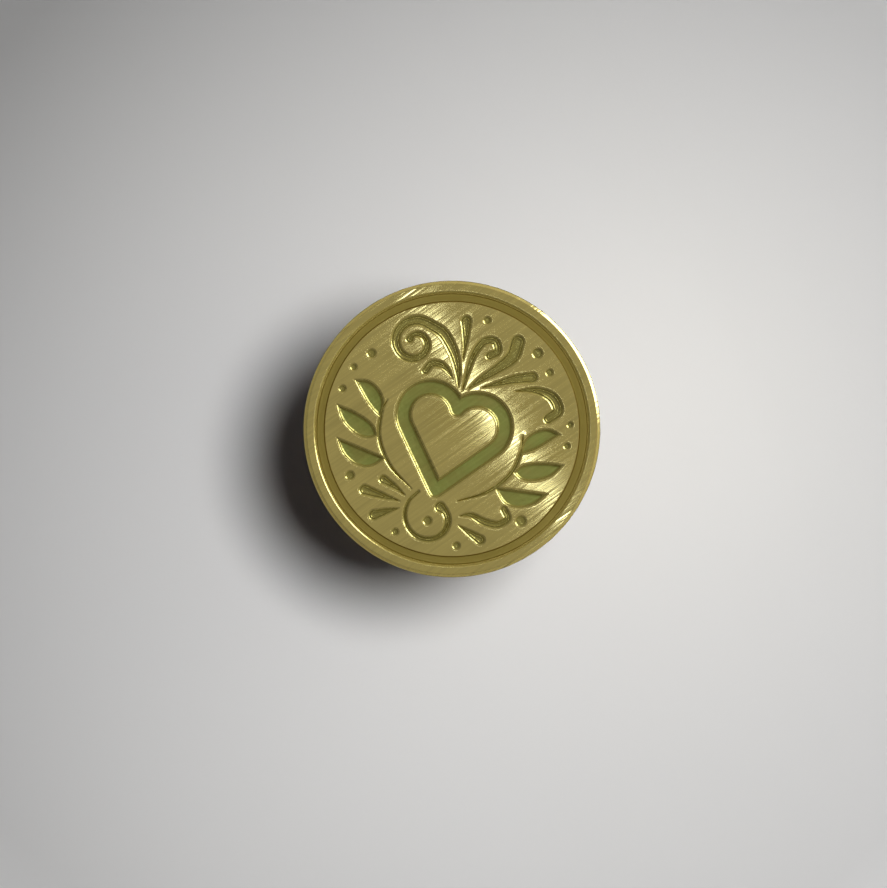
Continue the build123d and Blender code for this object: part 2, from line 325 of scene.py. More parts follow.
class StageSettings(bpy.types.PropertyGroup):
    """Floor, lamps and camera."""

    floor: FloatVectorProperty(
        name="Floor", description="Colour of the floor", default=(0.785, 0.78, 0.775), **COLOUR
    )
    camera_distance: FloatProperty(
        name="Camera Distance",
        description="Height of the camera above the engraved face",
        default=0.150,
        **LENGTH,
    )
    key_power: FloatProperty(
        name="Key Power", description="Power of the lamp beside the camera", default=1.9, **POWER
    )
    bounce_power: FloatProperty(
        name="Bounce Power", description="Power of the low lamp beside the head", default=0.013, **POWER
    )
    strip_power: FloatProperty(
        name="Strip Power", description="Power of the strip overhead", default=0.0028, **POWER
    )
    side_power: FloatProperty(
        name="Side Power", description="Power of the card at the right", default=0.78, **POWER
    )
    fill: FloatProperty(
        name="Fill", description="Strength of the light from all around", default=0.004, **FACTOR
    )
    glow: FloatProperty(
        name="Glow", description="Brightness that glossy surfaces see at the sides", default=0.30, **FACTOR
    )
    ceiling: FloatProperty(
        name="Ceiling", description="Brightness that glossy surfaces see overhead", default=0.43, **FACTOR
    )


def set_inputs(tree, node, inputs):
    """Links a node's inputs to sockets, or sets them."""
    for name, value in inputs.items():
        if isinstance(value, bpy.types.NodeSocket):
            tree.links.new(value, node.inputs[name])
        else:
            node.inputs[name].default_value = value


def add_node(tree, kind, inputs=None, **settings):
    """A new node with its settings made and its inputs set or linked."""
    node = tree.nodes.new(kind)
    for name, value in settings.items():
        setattr(node, name, value)
    set_inputs(tree, node, inputs or {})
    return node


def calculate(tree, operation, *values, clamp=False):
    """The output of a Math node on sockets or numbers."""
    inputs = dict(enumerate(values))
    return add_node(tree, "ShaderNodeMath", inputs, operation=operation, use_clamp=clamp).outputs[0]


def times(tree, first, second):
    """The product of two sockets or numbers."""
    return calculate(tree, "MULTIPLY", first, second)


def remap(tree, value, low, high, to_low=0.0, to_high=1.0):
    """The output of a clamped Map Range node."""
    inputs = {"Value": value, "From Min": low, "From Max": high, "To Min": to_low, "To Max": to_high}
    return add_node(tree, "ShaderNodeMapRange", inputs).outputs["Result"]


def mix_colours(tree, factor, first, second, blend="MIX"):
    """The output of a colour Mix node; a colour may be a socket or three numbers."""
    node = add_node(tree, "ShaderNodeMix", {"Factor": factor}, data_type="RGBA", blend_type=blend)
    for name, colour in (("A", first), ("B", second)):
        socket = next(s for s in node.inputs if s.name == name and s.type == "RGBA")
        if isinstance(colour, bpy.types.NodeSocket):
            tree.links.new(colour, socket)
        else:
            socket.default_value = (*colour, 1.0)
    return next(s for s in node.outputs if s.type == "RGBA")


def mix_values(tree, factor, first, second):
    """The output of a Mix node on two numbers or sockets."""
    inputs = {0: factor, 2: first, 3: second}
    return add_node(tree, "ShaderNodeMix", inputs, data_type="FLOAT").outputs[0]


def shaded(tree, colour, shade):
    """A colour times a shade of grey."""
    grey = add_node(tree, "ShaderNodeCombineColor", {"Red": shade, "Green": shade, "Blue": shade})
    return mix_colours(tree, 1.0, colour, grey.outputs[0], "MULTIPLY")


def noise(tree, vector, scale, detail=2.0, roughness=0.5):
    """The factor of a Noise Texture."""
    inputs = {"Vector": vector, "Scale": scale, "Detail": detail, "Roughness": roughness}
    return add_node(tree, "ShaderNodeTexNoise", inputs).outputs["Fac"]


def stretched(tree, vector, scale, turn=0.0):
    """Coordinates turned about Z and then scaled along each axis."""
    inputs = {"Vector": vector, "Angle": -turn}
    turned_way = add_node(tree, "ShaderNodeVectorRotate", inputs, rotation_type="Z_AXIS").outputs[0]
    return add_node(tree, "ShaderNodeVectorMath", {0: turned_way, 1: scale}, operation="MULTIPLY").outputs[0]


def axis_radius(tree, vector):
    """Distance of a point from the stamp's axis, and its height."""
    parts = add_node(tree, "ShaderNodeSeparateXYZ", {0: vector}).outputs
    square_x = calculate(tree, "POWER", parts["X"], 2.0)
    square_y = calculate(tree, "POWER", parts["Y"], 2.0)
    return calculate(tree, "SQRT", calculate(tree, "ADD", square_x, square_y)), parts["Z"]


def light_side(tree, vector):
    """How far a vector points to the side that the light comes from."""
    way = (math.cos(SIDE_AZIMUTH), math.sin(SIDE_AZIMUTH), 0.0)
    product = add_node(tree, "ShaderNodeVectorMath", {0: vector, 1: way}, operation="DOT_PRODUCT")
    return product.outputs["Value"]


def new_group(name, inputs, outputs):
    """An empty shader node group with named sockets, and its input and output nodes."""
    group = bpy.data.node_groups.new(name, "ShaderNodeTree")
    for socket_name, kind in inputs:
        group.interface.new_socket(socket_name, in_out="INPUT", socket_type=kind)
    for socket_name, kind in outputs:
        group.interface.new_socket(socket_name, in_out="OUTPUT", socket_type=kind)
    return group, group.nodes.new("NodeGroupInput"), group.nodes.new("NodeGroupOutput")


def tone_drift_group():
    """Slow uneven tone over a surface, as handling and tarnish leave it."""
    if "Tone Drift" in bpy.data.node_groups:
        return bpy.data.node_groups["Tone Drift"]
    group, given, result = new_group(
        "Tone Drift",
        [("Vector", "NodeSocketVector"), ("Scale", "NodeSocketFloat"), ("Amount", "NodeSocketFloat")],
        [("Factor", "NodeSocketFloat")],
    )
    clouds = noise(group, given.outputs["Vector"], given.outputs["Scale"], 4.0, 0.55)
    drift = times(group, calculate(group, "SUBTRACT", clouds, 0.5), given.outputs["Amount"])
    group.links.new(calculate(group, "ADD", drift, 1.0), result.inputs["Factor"])
    return group


def turning_marks_group():
    """Fine rings that a lathe tool leaves round the stamp's axis."""
    if "Turning Marks" in bpy.data.node_groups:
        return bpy.data.node_groups["Turning Marks"]
    group, given, result = new_group(
        "Turning Marks",
        [("Vector", "NodeSocketVector"), ("Rings per Metre", "NodeSocketFloat")],
        [("Height", "NodeSocketFloat")],
    )
    radius, height = axis_radius(group, given.outputs["Vector"])
    along = add_node(group, "ShaderNodeCombineXYZ", {"X": radius, "Y": height, "Z": 0.0}).outputs[0]
    rings = noise(group, along, given.outputs["Rings per Metre"], 3.0, 0.6)
    group.links.new(rings, result.inputs["Height"])
    return group


def use_group(tree, group, inputs):
    """The first output of a group that is placed in a tree."""
    return add_node(tree, "ShaderNodeGroup", inputs, node_tree=group).outputs[0]


def start_material(name):
    """A new material, its tree and its Object coordinates."""
    material = bpy.data.materials.new(name)
    material.use_nodes = True
    tree = material.node_tree
    return material, tree, add_node(tree, "ShaderNodeTexCoord").outputs["Object"]


def finished(material, inputs):
    """The material, with the inputs of its Principled BSDF linked or set."""
    tree = material.node_tree
    set_inputs(tree, tree.nodes["Principled BSDF"], inputs)
    return material


def bump(tree, height, distance, strength=1.0):
    """The normal of a Bump node."""
    inputs = {"Height": height, "Distance": distance, "Strength": strength}
    return add_node(tree, "ShaderNodeBump", inputs).outputs["Normal"]


# Depths in the engraving, in metres, over which a finish sets in, with a darker colour that is partly painted
# shade
RECESS_DEPTHS = (0.02 * MM, 0.10 * MM)
FLOOR_DEPTHS = (0.19 * MM, 0.24 * MM)
DULL_DEPTHS = (0.15 * MM, 0.24 * MM)

# Brush lines: their UV map, and noise per metre along, across and through them
BRUSH_MAP = "brush"
BRUSH_FINE = (90.0, 4600.0, 400.0)
BRUSH_BROAD = (60.0, 1300.0, 400.0)
BROAD_SHARE = 0.3

# Wood: the pith and the grain's sway in metres, and noise per metre along X, Y and Z
PITH_OFFSET = (0.026, -0.041, 0.0)
GRAIN_SWAY = 0.007
WOOD_SWAY = (45.0, 45.0, 14.0)
WOOD_PORES = (5200.0, 5200.0, 260.0)
WOOD_FIBRES = (2600.0, 2600.0, 90.0)
WOOD_RINGS = 780.0
WOOD_LEAN = 0.008


def seal_brass(settings):
    """Brass with a straight-brushed face, smooth olive recesses and turned sides. The recesses and the ring's
    groove are coloured darker than the face, partly for their cut finish and partly as painted shade.
    """
    material, tree, place = start_material("seal_brass")
    radius, height = axis_radius(tree, place)
    depth = calculate(tree, "SUBTRACT", FACE_HEIGHT * MM, height)
    within = calculate(tree, "LESS_THAN", radius, (RING_RADIUS + RING_WIDTH / 2 + RING_LIP) * MM)
    side = remap(tree, depth, SIDE_TOP * MM, (SIDE_TOP + SIDE_BLEND) * MM)
    engraved = calculate(tree, "SUBTRACT", within, side, clamp=True)
    recess = times(tree, remap(tree, depth, *RECESS_DEPTHS), engraved)
    ring = times(tree, recess, calculate(tree, "GREATER_THAN", radius, FIELD_EDGE * MM))
    milled = calculate(tree, "SUBTRACT", recess, ring)

    fine = noise(tree, stretched(tree, place, BRUSH_FINE, settings.brush_angle), 1.0, 1.5)
    broad = noise(tree, stretched(tree, place, BRUSH_BROAD, settings.brush_angle), 1.0)
    lines = mix_values(tree, BROAD_SHARE, fine, broad)
    turning = use_group(tree, turning_marks_group(), {"Vector": place, "Rings per Metre": 9000.0})
    marks = mix_values(tree, calculate(tree, "MAXIMUM", side, ring), lines, turning)
    surface = mix_values(tree, milled, marks, noise(tree, place, 2600.0))
    drift = use_group(tree, tone_drift_group(), {"Vector": place, "Scale": 260.0, "Amount": 0.25})

    stain = remap(tree, noise(tree, place, 420.0, 3.0), 0.38, 0.66, 0.0, 0.6)
    stained = mix_colours(tree, stain, settings.floor, settings.wall)
    # The cuts turn olive and darker with depth: the olive tint is their finish, the darkening is partly
    # painted shade
    cut = mix_colours(tree, remap(tree, depth, *FLOOR_DEPTHS), settings.wall, stained)
    toned = mix_colours(tree, milled, settings.brass, cut)
    # The ring's groove is darker too, partly its finish and partly painted shade
    toned = mix_colours(tree, ring, toned, settings.ring)
    shade = times(tree, drift, remap(tree, marks, 0.35, 0.65, 0.91, 1.06))
    face_roughness = remap(tree, marks, 0.38, 0.62, 0.05, 0.17)
    inner_roughness = times(tree, drift, remap(tree, depth, *DULL_DEPTHS, 0.20, 0.36))
    finish = {
        "Base Color": shaded(tree, toned, shade),
        "Roughness": mix_values(tree, recess, face_roughness, inner_roughness),
        "Normal": bump(tree, surface, 0.030 * MM),
        "Metallic": 1.0,
        "Anisotropic": 0.9,
        "Tangent": add_node(tree, "ShaderNodeTangent", direction_type="UV_MAP", uv_map=BRUSH_MAP).outputs[0],
    }
    return finished(material, finish)


def ferrule_brass(settings):
    """Polished turned brass with fine rings."""
    material, tree, place = start_material("ferrule_brass")
    rings = use_group(tree, turning_marks_group(), {"Vector": place, "Rings per Metre": 7000.0})
    drift = use_group(tree, tone_drift_group(), {"Vector": place, "Scale": 220.0, "Amount": 0.35})
    finish = {
        "Base Color": shaded(tree, settings.ferrule_brass, drift),
        "Roughness": remap(tree, rings, 0.3, 0.7, 0.16, 0.30),
        "Normal": bump(tree, rings, 0.004 * MM),
        "Metallic": 1.0,
        "Anisotropic": 0.5,
        "Tangent": add_node(tree, "ShaderNodeTangent", direction_type="RADIAL", axis="Z").outputs[0],
    }
    return finished(material, finish)


def lacquered_wood(settings):
    """Dark hardwood with growth lines and pores along the handle, under a thin lacquer."""
    material, tree, place = start_material("lacquered_wood")
    pith = add_node(tree, "ShaderNodeVectorMath", {0: place, 1: PITH_OFFSET}, operation="ADD").outputs[0]
    distance, height = axis_radius(tree, pith)
    sway = noise(tree, stretched(tree, place, WOOD_SWAY), 1.0)
    reach = calculate(tree, "MULTIPLY_ADD", sway, GRAIN_SWAY, distance)
    outwards = {"X": reach, "Y": 0.0, "Z": times(tree, height, WOOD_LEAN)}
    growth = add_node(tree, "ShaderNodeCombineXYZ", outwards).outputs[0]
    rings = remap(tree, noise(tree, growth, WOOD_RINGS, 3.0, 0.62), 0.36, 0.62)
    pores = remap(tree, noise(tree, stretched(tree, place, WOOD_PORES), 1.0), 0.60, 0.70)
    fibres = noise(tree, stretched(tree, place, WOOD_FIBRES), 1.0, 3.0)
    drift = use_group(tree, tone_drift_group(), {"Vector": place, "Scale": 60.0, "Amount": 0.6})
    grain = calculate(tree, "MULTIPLY_ADD", fibres, 0.45, times(tree, rings, 0.60))
    colour = mix_colours(tree, remap(tree, grain, 0.20, 0.85), settings.light_wood, settings.dark_wood)
    colour = mix_colours(tree, times(tree, pores, 0.75), colour, settings.dark_wood)
    finish = {
        "Base Color": shaded(tree, colour, drift),
        "Roughness": remap(tree, fibres, 0.3, 0.7, 0.34, 0.48),
        "Normal": bump(tree, times(tree, pores, -1.0), 0.012 * MM, 0.6),
        "Coat Weight": 0.55,
        "Coat Roughness": 0.16,
    }
    return finished(material, finish)


def plated_steel(settings):
    """Zinc-plated steel, slightly mottled."""
    material, tree, place = start_material("plated_steel")
    drift = use_group(tree, tone_drift_group(), {"Vector": place, "Scale": 900.0, "Amount": 0.5})
    finish = {
        "Base Color": shaded(tree, settings.steel, drift),
        "Roughness": times(tree, drift, 0.34),
        "Metallic": 1.0,
    }
    return finished(material, finish)


def black_nylon(settings):
    """Black nylon with a faint moulded grain."""
    material, tree, place = start_material("black_nylon")
    grain = noise(tree, place, 6000.0)
    drift = use_group(tree, tone_drift_group(), {"Vector": place, "Scale": 400.0, "Amount": 0.4})
    finish = {
        "Base Color": shaded(tree, settings.nylon, drift),
        "Roughness": remap(tree, grain, 0.3, 0.7, 0.42, 0.58),
        "Normal": bump(tree, grain, 0.01 * MM, 0.5),
    }
    return finished(material, finish)


def floor_paper(settings):
    """Pale matt paper with a faint tooth, which stays pale in the distance. Its far part glows: painted
    bounce light on the stamp, and a painted reflection in the brass that is brighter on the side the light
    comes from.
    """
    material, tree, place = start_material("floor_paper")
    radius, height = axis_radius(tree, place)
    seen = add_node(tree, "ShaderNodeLightPath").outputs
    # Painted light: the flat far floor glows on the stamp as painted bounce light, and glossy rays see it as
    # a painted reflection, brighter on the side the light comes from
    wall = calculate(tree, "GREATER_THAN", height, MM)
    kept = calculate(tree, "SUBTRACT", 1.0, times(tree, wall, seen["Is Diffuse Ray"]))
    side = calculate(tree, "DIVIDE", light_side(tree, place), radius)
    painted_reflection = remap(tree, side, -1.0, 1.0, *SIDE_GLOW)
    tone = mix_values(tree, seen["Is Glossy Ray"], kept, painted_reflection)
    dimmed = mix_values(tree, seen["Is Camera Ray"], PALE_GLOW, PALE_SEEN)
    distant = times(tree, remap(tree, radius, *PALE_DISTANCE), dimmed)
    drift = use_group(tree, tone_drift_group(), {"Vector": place, "Scale": 9.0, "Amount": 0.06})
    finish = {
        "Base Color": shaded(tree, settings.floor, drift),
        "Emission Color": (*settings.floor, 1.0),
        "Emission Strength": times(tree, distant, tone),
        "Roughness": 0.85,
        "Normal": bump(tree, noise(tree, place, 1800.0, 3.0), 0.02 * MM, 0.4),
    }
    return finished(material, finish)


def round_corner(centre, radius, start, end):
    """Points on an arc of a turned profile, angles in degrees."""
    angles = np.radians(np.linspace(start, end, ROUND_STEPS + 1))
    return [(centre[0] + radius * math.cos(a), centre[1] + radius * math.sin(a)) for a in angles]


def bezier(start, first, second, end):
    """Points on a cubic Bezier curve of a turned profile."""
    t = np.linspace(0, 1, CURVE_STEPS + 1)[:, None]
    corners = [np.array(point, float) for point in (start, first, second, end)]
    weights = [(1 - t) ** 3, 3 * t * (1 - t) ** 2, 3 * t**2 * (1 - t), t**3]
    return [tuple(point) for point in sum(w * c for w, c in zip(weights, corners))]


def without_repeats(profile):
    """The profile with points that repeat the one before left out."""
    kept = [profile[0]]
    for point in profile[1:]:
        if math.dist(point, kept[-1]) > REPEAT:
            kept.append(point)
    return kept


def turned(profile, closed=False):
    """A new shape that a profile of (radius, height) points sweeps round the axis."""
    shape = bmesh.new()
    rings = []
    for radius, height in without_repeats(profile):
        if radius < ON_AXIS:
            rings.append([shape.verts.new((0, 0, height * MM))] * SEGMENTS)
            continue
        ring = []
        for step in range(SEGMENTS):
            angle = 2 * math.pi * step / SEGMENTS
            x = radius * math.cos(angle) * MM
            y = radius * math.sin(angle) * MM
            ring.append(shape.verts.new((x, y, height * MM)))
        rings.append(ring)
    pairs = list(zip(rings, rings[1:]))
    if closed:
        pairs.append((rings[-1], rings[0]))
    for lower, upper in pairs:
        for step in range(SEGMENTS):
            after = (step + 1) % SEGMENTS
            corners = dict.fromkeys([lower[step], lower[after], upper[after], upper[step]])
            if len(corners) > 2:
                shape.faces.new(list(corners))
    return shape


def finish_mesh(shape, name, material):
    """A smooth-shaded object from a shape, with its doubles merged and its faces pointing outwards."""
    bmesh.ops.remove_doubles(shape, verts=shape.verts, dist=DOUBLES)
    bmesh.ops.recalc_face_normals(shape, faces=shape.faces)
    mesh = bpy.data.meshes.new(name)
    shape.to_mesh(mesh)
    shape.free()
    mesh.polygons.foreach_set("use_smooth", [True] * len(mesh.polygons))
    mesh.set_sharp_from_angle(angle=SHARP_ANGLE)
    mesh.materials.append(material)
    piece = bpy.data.objects.new(name, mesh)
    bpy.context.collection.objects.link(piece)
    return piece


def add_brush_map(mesh, name, turn):
    """A UV map whose U runs at the turn from +X on the face, and along the profile on the sides."""
    layer = mesh.uv_layers.new(name=name)
    for polygon in mesh.polygons:
        on_face = abs(polygon.normal.z) > FACE_SLOPE and polygon.center.z > (FACE_HEIGHT - SIDE_TOP) * MM
        middle = math.atan2(polygon.center.y, polygon.center.x)
        for loop in polygon.loop_indices:
            x, y, z = mesh.vertices[mesh.loops[loop].vertex_index].co / MM
            if on_face:
                along = x * math.cos(turn) + y * math.sin(turn)
                across = y * math.cos(turn) - x * math.sin(turn)
            else:
                along = z + math.hypot(x, y)
                across = math.remainder(math.atan2(y, x) - middle, 2 * math.pi) * FACE_RADIUS
            layer.data[loop].uv = (along, across)


def smooth_run(stations):
    """Dense points (x, y, half width) on a smooth curve through the stations."""
    stations = np.array(stations, float)
    padded = np.vstack([2 * stations[0] - stations[1], stations, 2 * stations[-1] - stations[-2]])
    spans = []
    for before, start, end, after in zip(padded, padded[1:], padded[2:], padded[3:]):
        steps = max(2, round(math.dist(start[:2], end[:2]) / STROKE_SPACING))
        t = np.linspace(0, 1, steps, endpoint=False)[:, None]
        square = (2 * before - 5 * start + 4 * end - after) * t**2
        cube = (3 * start - before - 3 * end + after) * t**3
        spans.append(0.5 * (2 * start + (end - before) * t + (square + cube)))
    return np.vstack([*spans, stations[-1:]])


def heart_run():
    """Dense points on the middle of the heart's band, from the cleft round one lobe to the tip."""
    cleft = math.acos(-HEART_LOBE_X / HEART_LOBE_RADIUS)
    steps = round(HEART_LOBE_RADIUS * (cleft + HEART_SIDE_ANGLE) / STROKE_SPACING)
    angles = np.linspace(cleft, -HEART_SIDE_ANGLE, steps)
    lobe_x = HEART_LOBE_X + HEART_LOBE_RADIUS * np.cos(angles)
    lobe_y = HEART_LOBE_Y + HEART_LOBE_RADIUS * np.sin(angles)
    tip = lobe_y[-1] - lobe_x[-1] / math.tan(HEART_SIDE_ANGLE)
    steps = round(math.hypot(lobe_x[-1], lobe_y[-1] - tip) / STROKE_SPACING)
    side_x = np.linspace(lobe_x[-1], 0, steps)[1:]
    side_y = np.linspace(lobe_y[-1], tip, steps)[1:]
    x = np.concatenate([lobe_x, side_x])
    y = np.concatenate([lobe_y, side_y])
    return np.column_stack([x, y, np.full(len(x), HEART_HALF_BAND)])


def mirrored(run):
    """The same run on the other side of the upright axis."""
    return run * np.array([-1, 1, 1])


def turned_runs(runs, turn):
    """Runs turned about the axis with the engraving."""
    matrix = np.array([[math.cos(turn), math.sin(turn), 0], [-math.sin(turn), math.cos(turn), 0], [0, 0, 1]])
    return [run @ matrix for run in runs]


def inside_distance(points, discs):
    """How far each point lies inside the nearest edge of a union of discs; negative outside."""
    result = np.full(len(points), -np.inf)
    for start in range(0, len(points), BLOCK):
        block = points[start : start + BLOCK]
        away = np.hypot(block[:, None, 0] - discs[None, :, 0], block[:, None, 1] - discs[None, :, 1])
        result[start : start + BLOCK] = (discs[None, :, 2] - away).max(1)
    return result


def edge_rows(run, distances):
    """Points along a stroke at set distances in from its edge, with the distance of each."""
    rows = []
    if len(run) > 1:
        path = np.gradient(run, axis=0)
        pace = np.hypot(path[:, 0], path[:, 1])
        along = path[:, :2] / pace[:, None]
        across = np.column_stack([-along[:, 1], along[:, 0]])
        widening = np.clip(path[:, 2] / pace, -STEEPEST, STEEPEST)[:, None]
        rows.append(np.column_stack([run[:, :2], run[:, 2]]))
        for distance in distances:
            reach = run[:, 2:] - distance
            for sign in (1, -1):
                edge = run[:, :2] + reach * (sign * np.sqrt(1 - widening**2) * across - widening * along)
                kept = reach[:, 0] > SAME_POINT
                rows.append(np.column_stack([edge, np.full(len(edge), distance)])[kept])
    for x, y, half_width in (run[0], run[-1]):
        for distance in distances:
            reach = half_width - distance
            if reach > SAME_POINT:
                count = max(END_POINTS, round(2 * math.pi * reach / STROKE_SPACING))
                angles = np.arange(count) * 2 * math.pi / count
                circle = [x + reach * np.cos(angles), y + reach * np.sin(angles), np.full(count, distance)]
                rows.append(np.column_stack(circle))
        rows.append(np.array([[x, y, half_width]]))
    return np.vstack(rows)


class Engraving:
    """The engraved strokes as discs, and the depth that they cut at any point of the face."""

    def __init__(self, turn):
        heart = heart_run()
        branch = {name: smooth_run(stations) for name, stations in BRANCH.items()}
        stem = branch.pop("stem")
        broad = [heart, *branch.values()]
        narrow = [stem, mirrored(stem), *(np.array([dot], float) for dot in DOTS)]
        stepped = [smooth_run(stations) for stations in SCROLL_STROKES.values()]
        self.families = [
            (turned_runs([*broad, *map(mirrored, broad)], turn), WALL_DISTANCES, WALL_DEPTHS),
            (turned_runs(narrow, turn), NARROW_DISTANCES, NARROW_DEPTHS),
            (turned_runs(stepped, turn), STEP_DISTANCES, STEP_DEPTHS),
        ]

    def depth(self, points):
        """Depth of the cut below the face."""
        cuts = []
        for runs, distances, depths in self.families:
            cuts.append(np.interp(inside_distance(points, np.vstack(runs)), distances, depths))
        return np.max(cuts, axis=0)

    def clearance(self, points):
        """Distance from each point to the nearest stroke's edge; negative inside a stroke."""
        inside = [inside_distance(points, np.vstack(runs)) for runs, _, _ in self.families]
        return -np.max(inside, axis=0)

    def points(self):
        """Points that follow the strokes' edges, walls and floors, with a loose grid between them."""
        kept = []
        for runs, distances, depths in self.families:
            rows = np.vstack([edge_rows(run, distances) for run in runs])
            own_depth = np.interp(rows[:, 2], distances, depths)
            deeper = self.depth(rows[:, :2]) > own_depth + DEPTH_TOLERANCE
            kept.append(rows[~deeper, :2])
        steps = np.arange(-FIELD_RADIUS, FIELD_RADIUS, FIELD_SPACING)
        grid = np.array([(x + (i % 2) * FIELD_SPACING / 2, y) for i, y in enumerate(steps) for x in steps])
        grid = grid[np.hypot(grid[:, 0], grid[:, 1]) < FIELD_RADIUS - FIELD_SPACING / 2]
        kept.append(grid[self.clearance(grid) > FIELD_GAP])
        points = np.vstack(kept)
        cells = np.round(points / SAME_POINT).astype(int)
        first = np.unique(cells, axis=0, return_index=True)[1]
        return points[np.sort(first)]


def add_engraved_field(shape, engraving):
    """Adds the face inside the border ring, cut by the engraving."""
    angles = np.arange(SEGMENTS) * 2 * math.pi / SEGMENTS
    border = np.column_stack([FIELD_EDGE * np.cos(angles), FIELD_EDGE * np.sin(angles)])
    points = np.vstack([border, engraving.points()])
    loop = [(i, (i + 1) % SEGMENTS) for i in range(SEGMENTS)]
    corners, _, faces, *_ = geometry.delaunay_2d_cdt([Vector(p) for p in points], loop, [], 0, REPEAT)
    corners = np.array(corners)
    heights = FACE_HEIGHT - engraving.depth(corners)
    made = [shape.verts.new((x * MM, y * MM, z * MM)) for (x, y), z in zip(corners, heights)]
    for face in faces:
        shape.faces.new([made[i] for i in face])


def head_profile():
    """Turned profile of the head, from its bore round the back and rim to the engraved field."""
    back = HEAD_BACK
    face = FACE_HEIGHT
    boss = FERRULE_RADIUS
    foot = back + BOSS_HEIGHT
    lip = FACE_RADIUS - RIM_LEDGE
    ledge = face - RIM_HEIGHT
    cove = np.radians(np.linspace(180, 90, CURVE_STEPS + 1))
    inner = RING_RADIUS - RING_WIDTH / 2
    outer = RING_RADIUS + RING_WIDTH / 2
    return [
        (0, back + BORE_DEPTH),
        (BORE_RADIUS, back + BORE_DEPTH),
        (BORE_RADIUS, back + BORE_CHAMFER),
        (BORE_RADIUS + BORE_CHAMFER, back),
        *round_corner((boss - BOSS_ROUND, back + BOSS_ROUND), BOSS_ROUND, -90, 0),
        (boss, foot),
        *[(lip + (lip - boss) * math.cos(a), foot + (ledge - foot) * math.sin(a)) for a in cove],
        (FACE_RADIUS - RIM_BREAK, ledge),
        (FACE_RADIUS, ledge + RIM_BREAK),
        (FACE_RADIUS, face - EDGE_DROP),
        (FACE_RADIUS, face - EDGE_DROP + EDGE_SUPPORT),
        *[(FACE_RADIUS - share * EDGE_WIDTH, face - (1 - share) * EDGE_DROP) for share in EDGE_SHARES],
        (FACE_RADIUS - EDGE_WIDTH, face),
        (FACE_RADIUS - EDGE_WIDTH - EDGE_SUPPORT, face),
        *[(outer + along, face - depth) for along, depth in RING_OUTER],
        *[(inner + along, face - depth) for along, depth in RING_INNER],
        (FIELD_EDGE, face),
    ]


def ferrule_profile():
    """Turned profile of the ferrule, a cup with a rolled groove near each end."""
    low = FERRULE_LOW.z
    high = FERRULE_HIGH.z
    outside = FERRULE_RADIUS
    inside = outside - FERRULE_WALL
    hole = STUD_RADIUS + STUD_PLAY
    return [
        (inside, low),
        (outside, low),
        *round_corner((outside, low + GROOVE_INSET), GROOVE_RADIUS, 270, 90),
        *round_corner((outside, high - GROOVE_INSET), GROOVE_RADIUS, 270, 90),
        *round_corner((outside - FERRULE_ROUND, high - FERRULE_ROUND), FERRULE_ROUND, 0, 90),
        (hole, high),
        (hole, high - FERRULE_CROWN),
        (inside, high - FERRULE_CROWN),
    ]


def bead_profile(bottom, top):
    """Points on the handle's bead, an arc that stands proud of the neck."""
    half = (top - bottom) / 2
    radius = (half**2 + BEAD_SWELL**2) / (2 * BEAD_SWELL)
    reach = math.degrees(math.asin(half / radius))
    centre = (NECK_RADIUS + BEAD_SWELL - radius, (bottom + top) / 2)
    return round_corner(centre, radius, -reach, reach)


def handle_profile():
    """Turned profile of the handle, from the mark in its butt up to its tenon and down its bore."""
    shoulder = FERRULE_LOW.z
    bead_top = shoulder - COVE_LENGTH
    bead_bottom = bead_top - BEAD_WIDTH
    neck = bead_bottom - NECK_RUN
    tenon = FERRULE_RADIUS - FERRULE_WALL - TENON_GAP
    flare = (BUTT_RADIUS + BUTT_EASE * math.sin(BUTT_FLARE), BUTT_EASE * math.cos(BUTT_FLARE))
    belly = (BELLY_RADIUS, BELLY_HEIGHT)
    side = bezier((BUTT_RADIUS, 0), flare, (BELLY_RADIUS, BELLY_HEIGHT - BUTT_EASE), belly)
    side = [point for point in side if point[1] > BUTT_ROUND]
    lean = math.degrees(BUTT_FLARE)
    edge_centre = (side[0][0] - BUTT_ROUND / math.cos(BUTT_FLARE), BUTT_ROUND)
    wall = STUD_RADIUS + TENON_GAP
    pilot = SCREW_RADIUS + TENON_GAP
    return [
        (0, DIMPLE_DEPTH),
        (DIMPLE_RADIUS, 0),
        *round_corner(edge_centre, BUTT_ROUND, -90, -lean),
        *side,
        *bezier(
            belly,
            (BELLY_RADIUS, BELLY_HEIGHT + BELLY_EASE),
            (NECK_RADIUS, neck - NECK_EASE),
            (NECK_RADIUS, neck),
        ),
        *bead_profile(bead_bottom, bead_top),
        *bezier(
            (NECK_RADIUS, bead_top),
            (NECK_RADIUS, bead_top + COVE_EASE),
            (FERRULE_RADIUS, shoulder - COVE_EASE),
            (FERRULE_RADIUS, shoulder),
        ),
        (tenon, shoulder),
        (tenon, HANDLE_HIGH.z),
        (wall, HANDLE_HIGH.z),
        (wall, SCREW_SHOULDER),
        (pilot, SCREW_SHOULDER),
        (pilot, STUD_LOW.z - PILOT_RUNOUT),
        (0, STUD_LOW.z - PILOT_RUNOUT),
    ]


def washer_profile():
    """Closed profile of the washer, with its corners broken."""
    inside = STUD_RADIUS + WASHER_PLAY
    outside = WASHER_HIGH.x
    low = WASHER_LOW.z
    high = WASHER_HIGH.z
    return [
        (inside, low),
        (outside - WASHER_BREAK, low),
        (outside, low + WASHER_BREAK),
        (outside, high - WASHER_BREAK),
        (outside - WASHER_BREAK, high),
        (inside, high),
    ]


